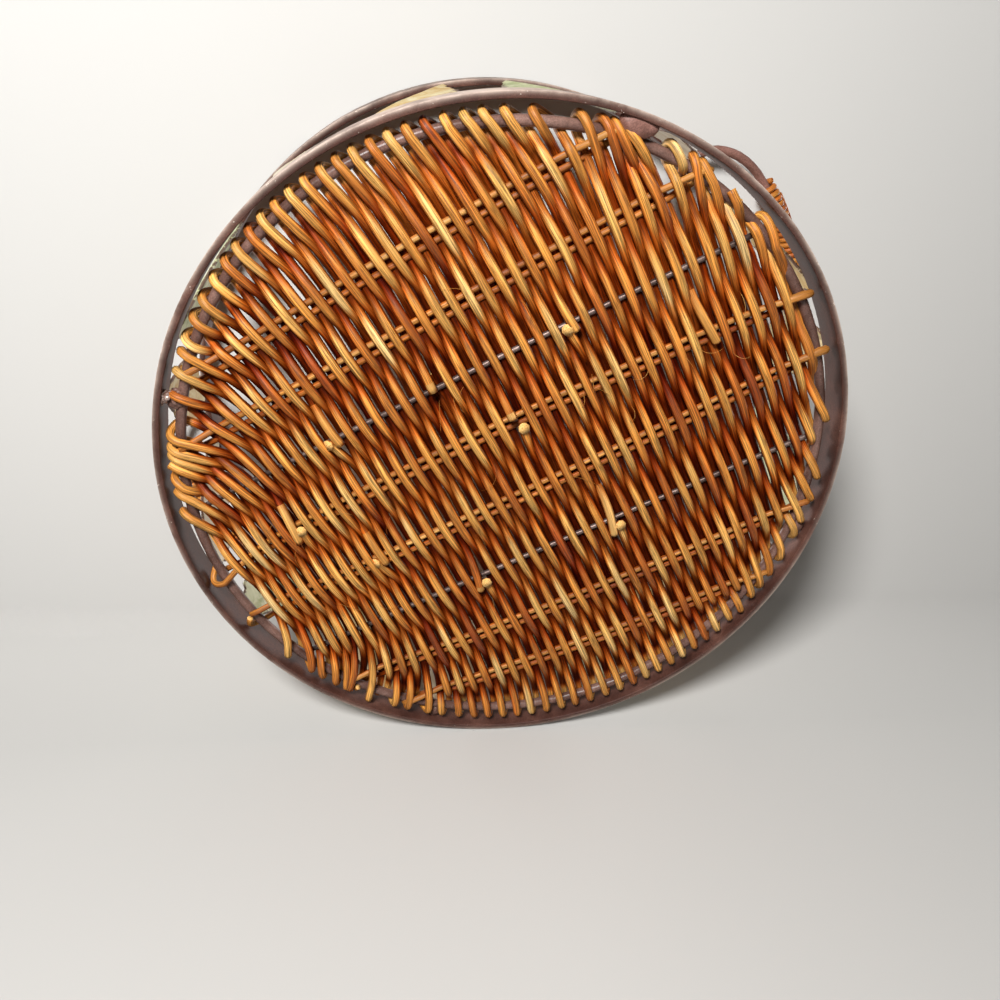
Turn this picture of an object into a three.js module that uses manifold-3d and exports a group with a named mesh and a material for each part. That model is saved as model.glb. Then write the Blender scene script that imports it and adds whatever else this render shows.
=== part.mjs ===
import * as THREE from 'three';
import { mergeVertices } from 'three/addons/utils/BufferGeometryUtils.js';
import Module from 'manifold-3d';

// A round basket: a steel frame of two flat hoops joined by leaf plates, a rod ring welded
// inside the lower hoop, a rattan mat woven across that ring, and two rod handles wound with cane.
// Millimetres, +Z up, origin under the middle of the basket on the surface it stands on.
// +X runs along the mat's stakes and through both handles.

const wasm = await Module();
wasm.setup();

// Frame bars and rods
const hoopOuterRadius = 170;
const hoopBarThickness = 3.2;
const hoopBarHeight = 19;
const wallHeight = 128;
const ringRodDiameter = 5;
const ringToHoopGap = 5.8;
const crossRodDiameter = 2.8;

// Welds that bridge the gap between the ring and the lower hoop
const weldCount = 4;
const firstWeldAngle = 41 * Math.PI / 180;
const weldDiameter = 6;

// Woven mat: its weaver canes, its reeds, and where they lie as shares of the ring's radius.
// Rows are numbered from -X, and each cane ends in the row where the next one starts.
const weaverDiameter = 3.8;
const weaverEndRows = [7, 12, 19, 22, 30, 37, 45, 51, 56, 62, 72, 84];
const reedStakeShares = [-0.732, -0.549, -0.142, 0.109, 0.558, 0.735];
const crossRodShares = [-0.343, 0.33];
const reedDiameter = 2.9;
const reedSpacing = 4.8;
const reedBlendLength = 26;
const wrapReach = 140;
const hookSweep = Math.PI * 0.75;
const slotFlare = 1.2;
const crestShare = 0.15;

// Leaf plates that stand between the hoops
const leafCount = 16;
const leafThickness = 2;
const leafWidth = 42;
const leafStemWidth = 8;
const leafTipWidth = 5;
const leafLean = 17;
const leafNotchDepth = 2.6;

// Side handles
const handleRodDiameter = 5;
const handleStandOff = 25.5;
const handleFootAngle = 23.5 * Math.PI / 180;
const gripHalfAngle = 11.7 * Math.PI / 180;
const caneDiameter = 2.4;
const canePitch = 3.4;

// Clearances between pieces that touch on the real basket
const seatGap = 0.35;
const rowGap = 0.3;
const footClearance = 0.2;

// Facets
const roundSegments = 72;
const rodSides = 8;
const reedSides = 6;
const caneSides = 5;
const caneStepsPerLoop = 10;

// Derived sizes
const hoopInnerRadius = hoopOuterRadius - hoopBarThickness;
const ringRodRadius = ringRodDiameter / 2;
const ringRadius = hoopInnerRadius - ringToHoopGap - ringRodRadius;
const wrapRadius = ringRodRadius + seatGap + weaverDiameter;
const matHeight = footClearance + wrapRadius;
const matHalfThickness = reedDiameter / 2 + weaverDiameter;
const matValleyHalfThickness = weaverDiameter / 2;
const reedWrapRadius = ringRodRadius + seatGap + reedDiameter / 2;
const matRadius = ringRadius - ringRodRadius - seatGap;
const wallMidRadius = hoopOuterRadius - hoopBarThickness / 2;
const reedStakeOffsets = reedStakeShares.map((share) => share * ringRadius);
const crossRodOffsets = crossRodShares.map((share) => share * ringRadius);

// Finishes
const bronzePaint = new THREE.MeshStandardMaterial({ color: '#5b4038', roughness: 0.55, metalness: 0.3 });
const yellowPaint = new THREE.MeshStandardMaterial({ color: '#c9a24b', roughness: 0.5, metalness: 0.2 });
const greenPaint = new THREE.MeshStandardMaterial({ color: '#9aa86a', roughness: 0.5, metalness: 0.2 });
const creamPaint = new THREE.MeshStandardMaterial({ color: '#d9cdb4', roughness: 0.5, metalness: 0.2 });
const weaverCane = new THREE.MeshStandardMaterial({ color: '#b9702a', roughness: 0.5, metalness: 0 });
const stakeReed = new THREE.MeshStandardMaterial({ color: '#a5662c', roughness: 0.55, metalness: 0 });
const gripCane = new THREE.MeshStandardMaterial({ color: '#a8591f', roughness: 0.5, metalness: 0 });

const basket = new THREE.Group();

function addPiece(name, geometry, material) {
  const piece = new THREE.Mesh(geometry, material);
  piece.name = name;
  basket.add(piece);
  return piece;
}

// Booleans

function solidOf(geometry) {
  const bare = geometry.clone();
  bare.deleteAttribute('normal');
  bare.deleteAttribute('uv');
  const merged = mergeVertices(bare, 1e-4);
  const mesh = new wasm.Mesh({
    numProp: 3,
    vertProperties: new Float32Array(merged.attributes.position.array),
    triVerts: new Uint32Array(merged.index.array),
  });
  return new wasm.Manifold(mesh);
}

function geometryOf(solid) {
  const mesh = solid.getMesh();
  const geometry = new THREE.BufferGeometry();
  geometry.setAttribute('position', new THREE.BufferAttribute(new Float32Array(mesh.vertProperties), 3));
  geometry.setIndex(new THREE.BufferAttribute(new Uint32Array(mesh.triVerts), 1));
  geometry.computeVertexNormals();
  return geometry;
}

// Shapes that repeat

// A closed profile of [radius, height] points spun about +Z
function spun(profile) {
  const points = [...profile, profile[0]].map(([radius, height]) => new THREE.Vector2(radius, height));
  return new THREE.LatheGeometry(points, roundSegments).rotateX(Math.PI / 2);
}

// A round section, as [radius, height] points about a centre, with a flat at the bottom
function roundProfile(centreRadius, centreHeight, radius, sides) {
  const profile = [];
  for (let side = 0; side < sides; side += 1) {
    const turn = (side + 0.5) / sides * Math.PI * 2 - Math.PI / 2;
    profile.push([centreRadius + radius * Math.cos(turn), centreHeight + radius * Math.sin(turn)]);
  }
  return profile;
}

function rodAlong(curve, diameter, sides, steps) {
  const section = new THREE.Shape(roundProfile(0, 0, diameter / 2, sides).map(([x, y]) => new THREE.Vector2(x, y)));
  return new THREE.ExtrudeGeometry(section, { extrudePath: curve, steps, bevelEnabled: false });
}

function block(xLow, xHigh, yLow, yHigh, zLow, zHigh) {
  const box = new THREE.BoxGeometry(xHigh - xLow, yHigh - yLow, zHigh - zLow);
  return box.translate((xLow + xHigh) / 2, (yLow + yHigh) / 2, (zLow + zHigh) / 2);
}

function ringCrossing(y) {
  return Math.sqrt(ringRadius ** 2 - y ** 2);
}

// Frame

function flatHoop(bottom) {
  return spun([
    [hoopInnerRadius, bottom],
    [hoopOuterRadius, bottom],
    [hoopOuterRadius, bottom + hoopBarHeight],
    [hoopInnerRadius, bottom + hoopBarHeight],
  ]);
}

function baseRing() {
  return spun(roundProfile(ringRadius, matHeight, ringRodRadius, rodSides));
}

// A rod straight across the ring, that stops a given distance short of the ring's centre line
function crossRod(y, diameter, short) {
  const halfLength = ringCrossing(Math.abs(y) + diameter / 2) - short * ringRadius / ringCrossing(y);
  const line = new THREE.LineCurve3(
    new THREE.Vector3(-halfLength, y, matHeight),
    new THREE.Vector3(halfLength, y, matHeight),
  );
  return rodAlong(line, diameter, reedSides, 1);
}

function weldAngle(weld) {
  return firstWeldAngle + weld / weldCount * Math.PI * 2;
}

function weldBridge(angle) {
  const inner = ringRadius + ringRodRadius + seatGap;
  const outer = hoopInnerRadius - seatGap;
  const stub = new THREE.CylinderGeometry(weldDiameter / 2, weldDiameter / 2, outer - inner, rodSides);
  stub.rotateZ(Math.PI / 2).translate((inner + outer) / 2, 0, matHeight);
  return stub.rotateZ(angle);
}

// Reed stakes: each is one reed laid across the mat twice and turned round the ring at its +X end

// A curve in sections: each has its own number of steps, and the whole is stepped evenly by them
class SteppedPath extends THREE.Curve {
  constructor(sections) {
    super();
    this.sections = sections;
    this.steps = sections.reduce((sum, section) => sum + section.steps, 0);
  }

  getUtoTmapping(u) {
    return u;
  }

  getPoint(t, target = new THREE.Vector3()) {
    let step = t * this.steps;
    for (const section of this.sections) {
      if (step <= section.steps || section === this.sections.at(-1)) {
        return target.copy(section.at(step / section.steps));
      }
      step -= section.steps;
    }
    return target;
  }
}

function stakePath(offset) {
  const lowY = offset - reedSpacing / 2;
  const highY = offset + reedSpacing / 2;
  const lowEnd = ringCrossing(lowY);
  const highEnd = ringCrossing(highY);
  const reach = reedWrapRadius * ringRadius / ringCrossing(offset);
  const point = (x, y, z) => new THREE.Vector3(x, y, matHeight + z);
  // Height away from the mat's middle, by the distance from the ring
  const lift = (fromRing) => reedWrapRadius * (0.5 + 0.5 * Math.cos(Math.PI * fromRing / reedBlendLength));
  const turned = (centreX, y, angle) => {
    return point(centreX + reach * Math.cos(angle), y, reedWrapRadius * Math.sin(angle));
  };
  const down = -Math.PI / 2;
  return new SteppedPath([
    { steps: 4, at: (share) => turned(-lowEnd, lowY, down - hookSweep * (1 - share)) },
    { steps: 3, at: (share) => {
      const fromRing = share * reedBlendLength;
      return point(fromRing - lowEnd, lowY, -lift(fromRing));
    } },
    { steps: 1, at: (share) => point((2 * share - 1) * (lowEnd - reedBlendLength), lowY, 0) },
    { steps: 3, at: (share) => {
      const fromRing = (1 - share) * reedBlendLength;
      return point(lowEnd - fromRing, lowY, -lift(fromRing));
    } },
    { steps: 6, at: (share) => {
      const y = lowY + share * reedSpacing;
      return turned(ringCrossing(y), y, down + share * Math.PI);
    } },
    { steps: 3, at: (share) => {
      const fromRing = share * reedBlendLength;
      return point(highEnd - fromRing, highY, lift(fromRing));
    } },
    { steps: 1, at: (share) => point((1 - 2 * share) * (highEnd - reedBlendLength), highY, 0) },
    { steps: 3, at: (share) => {
      const fromRing = (1 - share) * reedBlendLength;
      return point(fromRing - highEnd, highY, lift(fromRing));
    } },
  ]);
}

function reedStake(offset, diameter) {
  const path = stakePath(offset);
  return rodAlong(path, diameter, reedSides, path.steps);
}

// Woven mat: a disc between the ring's inner sides, whose edge wraps round the ring where the
// weavers turn back, with a way through it for the ring and each stake. Its faces rise in ridges
// over the stakes and rods and fall in valleys between them, where the canes cross from one side to
// the other. It is cut into one band for each weaver cane, because each cane runs to and fro in its
// own band.

// The ridges and valleys of both faces, as one bar that runs along +X
function ridgedBar() {
  const edge = matRadius + seatGap;
  const lines = [...reedStakeOffsets, ...crossRodOffsets].sort((one, other) => one - other);
  const crests = [-edge, ...lines, edge];
  const outline = [[-edge, matHalfThickness]];
  for (let i = 1; i < crests.length; i += 1) {
    const from = crests[i - 1];
    const span = crests[i] - from;
    outline.push([from + span * crestShare, matHalfThickness]);
    outline.push([from + span / 2, matValleyHalfThickness]);
    outline.push([from + span * (1 - crestShare), matHalfThickness]);
  }
  outline.push([edge, matHalfThickness]);
  const mirrored = outline.map(([y, height]) => [y, -height]).reverse();
  const shape = new THREE.Shape([...outline, ...mirrored].map(([y, height]) => new THREE.Vector2(y, height)));
  const bar = new THREE.ExtrudeGeometry(shape, { depth: 2 * hoopOuterRadius, bevelEnabled: false });
  return bar.rotateX(Math.PI / 2).rotateZ(Math.PI / 2).translate(-hoopOuterRadius, 0, matHeight);
}

// The way through the mat for one reed stake: a level slot that opens up and down near the ring
function stakeSlot(offset) {
  const outside = hoopOuterRadius;
  const nearRing = ringCrossing(Math.abs(offset) + reedSpacing / 2);
  const level = nearRing - reedBlendLength;
  const low = reedDiameter / 2 + seatGap;
  const high = low + reedWrapRadius * slotFlare;
  const profile = [
    [-outside, -high], [-nearRing, -high], [-level, -low], [level, -low], [nearRing, -high], [outside, -high],
    [outside, high], [nearRing, high], [level, low], [-level, low], [-nearRing, high], [-outside, high],
  ];
  const shape = new THREE.Shape(profile.map(([x, z]) => new THREE.Vector2(x, z)));
  const width = reedSpacing + reedDiameter + 2 * seatGap;
  const slot = new THREE.ExtrudeGeometry(shape, { depth: width, bevelEnabled: false });
  return slot.rotateX(Math.PI / 2).translate(0, offset + width / 2, matHeight);
}

function rodSlot(offset) {
  const half = crossRodDiameter / 2 + seatGap;
  const outside = hoopOuterRadius;
  return block(-outside, outside, offset - half, offset + half, matHeight - half, matHeight + half);
}

function weldNotch(angle) {
  const half = weldDiameter / 2 + seatGap;
  return block(matRadius, hoopOuterRadius, -half, half, 0, wallHeight).rotateZ(angle);
}

function matBody() {
  const disc = solidOf(spun([
    [0, matHeight - matHalfThickness],
    [matRadius, matHeight - matHalfThickness],
    [matRadius, matHeight + matHalfThickness],
    [0, matHeight + matHalfThickness],
  ]));
  const wraps = solidOf(spun(roundProfile(ringRadius, matHeight, wrapRadius, rodSides)));
  const tunnel = solidOf(spun(roundProfile(ringRadius, matHeight, ringRodRadius + seatGap, rodSides)));
  const reach = block(-wrapReach, wrapReach, -hoopOuterRadius, hoopOuterRadius, 0, wallHeight);
  const ridged = disc.intersect(solidOf(ridgedBar()));
  let mat = wraps.intersect(solidOf(reach)).add(ridged).subtract(tunnel);
  for (let weld = 0; weld < weldCount; weld += 1) mat = mat.subtract(solidOf(weldNotch(weldAngle(weld))));
  for (const offset of reedStakeOffsets) mat = mat.subtract(solidOf(stakeSlot(offset)));
  for (const offset of crossRodOffsets) mat = mat.subtract(solidOf(rodSlot(offset)));
  return mat;
}

// One weaver's band of rows, without the scraps of edge that a stake's slot cuts off from it
function weaverBand(mat, startRow, endRow) {
  const rowPitch = 2 * matRadius / weaverEndRows.at(-1);
  const low = startRow * rowPitch - matRadius + rowGap / 2;
  const high = endRow * rowPitch - matRadius - rowGap / 2;
  const slice = block(low, high, -hoopOuterRadius, hoopOuterRadius, 0, wallHeight);
  const bodies = mat.intersect(solidOf(slice)).decompose();
  bodies.sort((one, other) => other.volume() - one.volume());
  return geometryOf(bodies[0]);
}

// Leaf plates: a pointed leaf cut from sheet, leaning, with its stem on the lower hoop and its
// tip under the upper hoop, bent to the wall's curve

function leafPlate(centreAngle, lean) {
  const bottom = hoopBarHeight + seatGap;
  const height = wallHeight - 2 * (hoopBarHeight + seatGap);
  const sideSteps = 10;
  const edgePoint = (share, side) => {
    const axis = lean * (2 * share - 1);
    const swell = Math.sin(Math.PI * Math.min(1, share * 1.06)) ** 0.9;
    const stem = leafStemWidth + (leafTipWidth - leafStemWidth) * share;
    const tooth = swell > 0.3 && Math.round(share * sideSteps) % 2 === 1 ? leafNotchDepth : 0;
    const halfWidth = stem / 2 + (leafWidth - stem) / 2 * swell - tooth;
    return new THREE.Vector2(axis + side * halfWidth, bottom + height * share);
  };
  const outline = [];
  for (let step = 0; step <= sideSteps; step += 1) outline.push(edgePoint(step / sideSteps, 1));
  for (let step = sideSteps; step >= 0; step -= 1) outline.push(edgePoint(step / sideSteps, -1));
  const plate = new THREE.ExtrudeGeometry(new THREE.Shape(outline), { depth: leafThickness, bevelEnabled: false });
  const places = plate.attributes.position;
  for (let i = 0; i < places.count; i += 1) {
    const angle = centreAngle + places.getX(i) / wallMidRadius;
    const radius = wallMidRadius - leafThickness / 2 + places.getZ(i);
    places.setXYZ(i, radius * Math.cos(angle), radius * Math.sin(angle), places.getY(i));
  }
  plate.computeVertexNormals();
  return plate;
}

// Side handles, each in a level plane at the middle of the upper hoop

const handleHeight = wallHeight - hoopBarHeight / 2;
const gripRadius = hoopOuterRadius + handleStandOff;

function gripPoint(angle, radius = gripRadius, lift = 0) {
  return new THREE.Vector3(radius * Math.cos(angle), radius * Math.sin(angle), handleHeight + lift);
}

// A foot leaves the hoop square to it and swings into the grip on a quarter of an ellipse
function handleFoot(side, turn) {
  const angle = gripHalfAngle + (handleFootAngle - gripHalfAngle) * Math.sin(turn);
  const foot = hoopOuterRadius + seatGap;
  return gripPoint(side * angle, foot + (gripRadius - foot) * Math.cos(turn));
}

function handleRod() {
  const quarter = Math.PI / 2;
  const path = new SteppedPath([
    { steps: 6, at: (share) => handleFoot(-1, quarter * (1 - share)) },
    { steps: 6, at: (share) => gripPoint(gripHalfAngle * (2 * share - 1)) },
    { steps: 6, at: (share) => handleFoot(1, quarter * share) },
  ]);
  return rodAlong(path, handleRodDiameter, rodSides, path.steps);
}

// The cane wound round a grip, one tube from end to end
const windingLoops = Math.floor(2 * gripHalfAngle * gripRadius / canePitch);
const windingRadius = handleRodDiameter / 2 + seatGap + caneDiameter / 2;
const windingHalfAngle = windingLoops * canePitch / gripRadius / 2;

function woundPoint(share) {
  const turn = share * windingLoops * Math.PI * 2;
  const angle = windingHalfAngle * (2 * share - 1);
  return gripPoint(angle, gripRadius + windingRadius * Math.cos(turn), windingRadius * Math.sin(turn));
}

function gripWinding() {
  const nearStart = 1e-4;
  const startRun = woundPoint(0).sub(woundPoint(nearStart)).setLength(caneDiameter);
  const endRun = woundPoint(1).sub(woundPoint(1 - nearStart)).setLength(caneDiameter);
  const path = new SteppedPath([
    { steps: 1, at: (share) => woundPoint(0).addScaledVector(startRun, 1 - share) },
    { steps: windingLoops * caneStepsPerLoop, at: woundPoint },
    { steps: 1, at: (share) => woundPoint(1).addScaledVector(endRun, share) },
  ]);
  return rodAlong(path, caneDiameter, caneSides, path.steps);
}

// Least gap between one loop of the cane and the rest of it, on points
function windingGap() {
  const samplesPerLoop = 48;
  const count = windingLoops * samplesPerLoop;
  const points = [];
  for (let i = 0; i <= count; i += 1) points.push(woundPoint(i / count));
  let least = Infinity;
  for (let i = 0; i <= count; i += 1) {
    for (let j = i + samplesPerLoop / 2; j <= Math.min(count, i + 2 * samplesPerLoop); j += 1) {
      least = Math.min(least, points[i].distanceTo(points[j]));
    }
  }
  return least - caneDiameter;
}

// The whole basket

addPiece('lower_hoop', flatHoop(0), bronzePaint);
addPiece('upper_hoop', flatHoop(wallHeight - hoopBarHeight), bronzePaint);
addPiece('base_ring', baseRing(), bronzePaint);
for (let weld = 0; weld < weldCount; weld += 1) {
  addPiece(`ring_weld_${weld + 1}`, weldBridge(weldAngle(weld)), bronzePaint);
}
crossRodOffsets.forEach((offset, i) => {
  addPiece(`cross_rod_${i + 1}`, crossRod(offset, crossRodDiameter, ringRodRadius + seatGap), bronzePaint);
});
reedStakeOffsets.forEach((offset, i) => {
  addPiece(`reed_stake_${i + 1}`, reedStake(offset, reedDiameter), stakeReed);
});
const mat = matBody();
weaverEndRows.forEach((endRow, i) => {
  const startRow = i === 0 ? 0 : weaverEndRows[i - 1];
  addPiece(`weaver_${String(i + 1).padStart(2, '0')}`, weaverBand(mat, startRow, endRow), weaverCane);
});
const leafPaints = [yellowPaint, greenPaint, creamPaint];
for (let leaf = 0; leaf < leafCount; leaf += 1) {
  const angle = (leaf + 0.5) / leafCount * Math.PI * 2;
  const lean = leaf % 2 === 0 ? leafLean : -leafLean;
  const paint = leafPaints[leaf % leafPaints.length];
  addPiece(`leaf_${String(leaf + 1).padStart(2, '0')}`, leafPlate(angle, lean), paint);
}
['front', 'back'].forEach((side, i) => {
  addPiece(`handle_rod_${side}`, handleRod().rotateZ(i * Math.PI), bronzePaint);
  addPiece(`grip_winding_${side}`, gripWinding().rotateZ(i * Math.PI), gripCane);
});
console.log(`least gap of the grip winding to itself: ${windingGap().toFixed(2)} mm`);

export default basket;
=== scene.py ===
# A round basket seen from below its base: a steel frame, a base woven from dyed rattan, leaf plates
# between two flat hoops, and two side handles wound with cane. Lengths are in mm until they are placed.
import random
from functools import partial
from math import atan2, copysign, cos, exp, pi, radians, sin, sqrt

import bmesh
import bpy
import numpy as np
from mathutils import Matrix, Vector, noise


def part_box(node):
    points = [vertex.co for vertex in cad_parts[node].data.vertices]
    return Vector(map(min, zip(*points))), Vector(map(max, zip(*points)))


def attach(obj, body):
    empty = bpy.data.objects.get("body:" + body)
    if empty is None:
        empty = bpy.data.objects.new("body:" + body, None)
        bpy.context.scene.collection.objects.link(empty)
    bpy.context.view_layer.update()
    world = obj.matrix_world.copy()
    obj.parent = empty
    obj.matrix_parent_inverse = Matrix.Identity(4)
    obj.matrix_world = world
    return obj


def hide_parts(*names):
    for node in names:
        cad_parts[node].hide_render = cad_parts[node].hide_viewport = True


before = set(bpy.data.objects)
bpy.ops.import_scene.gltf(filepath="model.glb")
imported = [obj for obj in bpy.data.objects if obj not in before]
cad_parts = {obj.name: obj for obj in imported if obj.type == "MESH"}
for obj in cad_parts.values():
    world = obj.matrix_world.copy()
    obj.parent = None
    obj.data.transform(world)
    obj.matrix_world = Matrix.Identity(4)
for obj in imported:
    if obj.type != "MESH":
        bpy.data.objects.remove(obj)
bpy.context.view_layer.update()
scene = bpy.context.scene
mm = 0.001
fullTurn = 2 * pi


def linkedObject(name, data):
    linked = bpy.data.objects.new(name, data)
    scene.collection.objects.link(linked)
    return linked


print("camera")
photoView = {"lens": 29.88, "place": (35.7, -190.0, -362.3), "turn": (150.992, 6.505, 25.087)}
cameraData = bpy.data.cameras.new("photoCamera")
cameraData.lens = photoView["lens"]
cameraData.clip_start = 0.01
cameraObject = linkedObject("photoCamera", cameraData)
cameraObject.location = Vector(photoView["place"]) * mm
cameraObject.rotation_euler = [radians(angle) for angle in photoView["turn"]]
scene.camera = cameraObject


# Materials

def linear(hexColour):
    channels = [int(hexColour[i:i + 2], 16) / 255 for i in (1, 3, 5)]
    return (*[c / 12.92 if c <= 0.04045 else ((c + 0.055) / 1.055) ** 2.4 for c in channels], 1)


# Inputs are a dictionary by socket, or a list for the first sockets
def setInputs(tree, node, inputs):
    for socket, value in inputs.items() if isinstance(inputs, dict) else enumerate(inputs):
        if isinstance(value, bpy.types.Node):
            value = value.outputs[0]
        if isinstance(value, bpy.types.NodeSocket):
            tree.links.new(value, node.inputs[socket])
        else:
            node.inputs[socket].default_value = value


def addNode(tree, kind, inputs=None, stops=None, **settings):
    node = tree.nodes.new("ShaderNode" + kind)
    for name, value in settings.items():
        setattr(node, name, value)
    setInputs(tree, node, inputs or [])
    if stops:
        ramp = node.color_ramp.elements
        while len(ramp) < len(stops):
            ramp.new(1)
        for element, (place, colour) in zip(ramp, stops):
            element.position = place
            element.color = linear(colour)
    return node


def startMaterial(name):
    material = bpy.data.materials.new(name)
    material.use_nodes = True
    tree = material.node_tree
    return material, tree.nodes["Principled BSDF"], partial(addNode, tree), partial(setInputs, tree)


# where the painted shade in the weave is weaker, towards the side nearer the key lamp: towards up, between two
# distances from the middle in metres
shadeEasing = {"up": (0.48, -0.877, 0), "from": 0.055, "to": 0.13, "least": 0.68}
# the cane's grain in metres: bands a millimetre wide and 40 mm long, with thin dark lines where the
# noise passes its middle, fine ribs, and pores at a cut
caneSkin = {
    "bandLength": 0.04, "toneAround": 0.12, "lineWidth": 0.08, "bands": (0.7, 1.18), "rough": (0.6, 0.42),
    "shine": (0.33, 0.04), "ribs": 0.0004, "pores": 0.0004,
}


# Rattan core, dyed and drawn round: honey to red-brown with fine lengthwise grain, painted shade that darkens
# the colour below the crests and along the strands' sides, and a soft waxy gloss that is turned down in that
# painted shade
def rattanMaterial(name, tones, settings):
    material, shader, add, setSockets = startMaterial(name)
    cane = add("SeparateXYZ", [add("UVMap", uv_map="caneUV")])
    turn = add("Math", [cane.outputs[1], fullTurn], operation="MULTIPLY")
    side = add("Math", [turn], operation="COSINE")
    front = add("Math", [turn], operation="SINE")
    place = add("CombineXYZ", [cane.outputs[0], side, front])
    grainScale = (1 / caneSkin["bandLength"], settings["grain"], settings["grain"])
    grainPlace = add("Mapping", {0: place, "Scale": grainScale})
    grain = add("TexNoise", {"Vector": grainPlace, "Scale": 1, "Detail": 3.0, "Roughness": 0.6})
    toneScale = (1 / settings["toneLength"], caneSkin["toneAround"], caneSkin["toneAround"])
    tonePlace = add("Mapping", {0: place, "Scale": toneScale})
    tone = add("TexNoise", {"Vector": tonePlace, "Scale": 1, "Detail": 1, "Roughness": 0.5})
    stain = add("ValToRGB", [tone], stops=tones)
    offLine = add("Math", [grain, 0.5], operation="SUBTRACT")
    lineAway = add("Math", [offLine], operation="ABSOLUTE")
    lines = add("MapRange", [lineAway, 0.0, caneSkin["lineWidth"], settings["line"], 1.0])
    dim, bright = caneSkin["bands"]
    bands = add("MapRange", [grain, 0.34, 0.66, dim, bright])
    streak = add("Math", [lines, bands], operation="MULTIPLY")
    grained = add("Mix", {0: 1.0, 6: stain, 7: streak}, data_type="RGBA", blend_type="MULTIPLY")
    # painted shade: the colour darkens where the cane lies near the mat's middle or turns sideways, as in the
    # crevices between strands
    standing = add("Attribute", attribute_name="standing").outputs["Fac"]
    low, high = settings["shadeRange"]
    depthShade = add("MapRange", [standing, low, high, settings["shadeStrength"], 0])
    # the painted shade fades out over the turns round the ring, so they stay as bright as the crests
    xyz = add("SeparateXYZ", [add("TexCoord").outputs["Object"]])
    flat = add("CombineXYZ", [xyz.outputs[0], xyz.outputs[1]])
    radius = add("VectorMath", [flat], operation="LENGTH").outputs["Value"]
    inside = add("MapRange", [radius, ringInside[0], ringInside[1], 1, 0])
    # the painted shade is weaker towards up, the side nearer the key lamp
    up = add("VectorMath", [flat, shadeEasing["up"]], operation="DOT_PRODUCT").outputs["Value"]
    settled = add("MapRange", [up, shadeEasing["from"], shadeEasing["to"], 1, shadeEasing["least"]])
    deep = add("Math", [depthShade, settled], operation="MULTIPLY")
    paintedShade = add("Math", [deep, inside], operation="MULTIPLY")
    shadeTint = add("ValToRGB", [paintedShade], stops=paintedShadeRamp)
    shadedColour = add("Mix", {0: 1.0, 6: grained.outputs[2], 7: shadeTint}, data_type="RGBA", blend_type="MULTIPLY")
    dull, smooth = caneSkin["rough"]
    gloss = add("MapRange", [grain, 0.3, 0.7, dull, smooth])
    # the gloss is turned down where the shade is painted, as painted shade on its reflections
    crest, depth = caneSkin["shine"]
    shine = add("MapRange", [paintedShade, 0.0, 0.7, crest, depth])
    ribs = add("Bump", {"Height": grain, "Strength": 0.55, "Distance": caneSkin["ribs"]})
    setSockets(shader, {"Base Color": shadedColour.outputs[2], "Roughness": gloss, "Normal": ribs})
    setSockets(shader, {"Specular IOR Level": shine})
    return material


# The cut end of the cane: pale, dry and full of pores
def cutCaneMaterial():
    material, shader, add, setSockets = startMaterial("cutRattanEnd")
    where = add("TexCoord").outputs["Object"]
    pores = add("TexNoise", {"Vector": where, "Scale": 1 / caneSkin["pores"], "Detail": 2})
    colour = add("ValToRGB", [pores], stops=[(0.32, "#a3682a"), (0.46, "#e2aa5a"), (0.7, "#f2cc88")])
    setSockets(shader, {"Base Color": colour, "Roughness": 0.85})
    return material


# sizes in metres of the enamel's clouds, flecks, chips and rubbed places, and how the hoops' edges and
# outsides wear
enamelSkin = {
    "cloud": 0.022, "fleck": 0.0006, "chip": 0.0035, "rub": 0.03, "rough": (0.42, 0.58), "shine": 0.22,
    "edge": (0.0066, 0.0096), "edgeWear": 0.2, "outside": 0.0034, "fade": 3.2, "outsideWear": 0.05,
    "depth": 0.0003,
}


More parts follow.
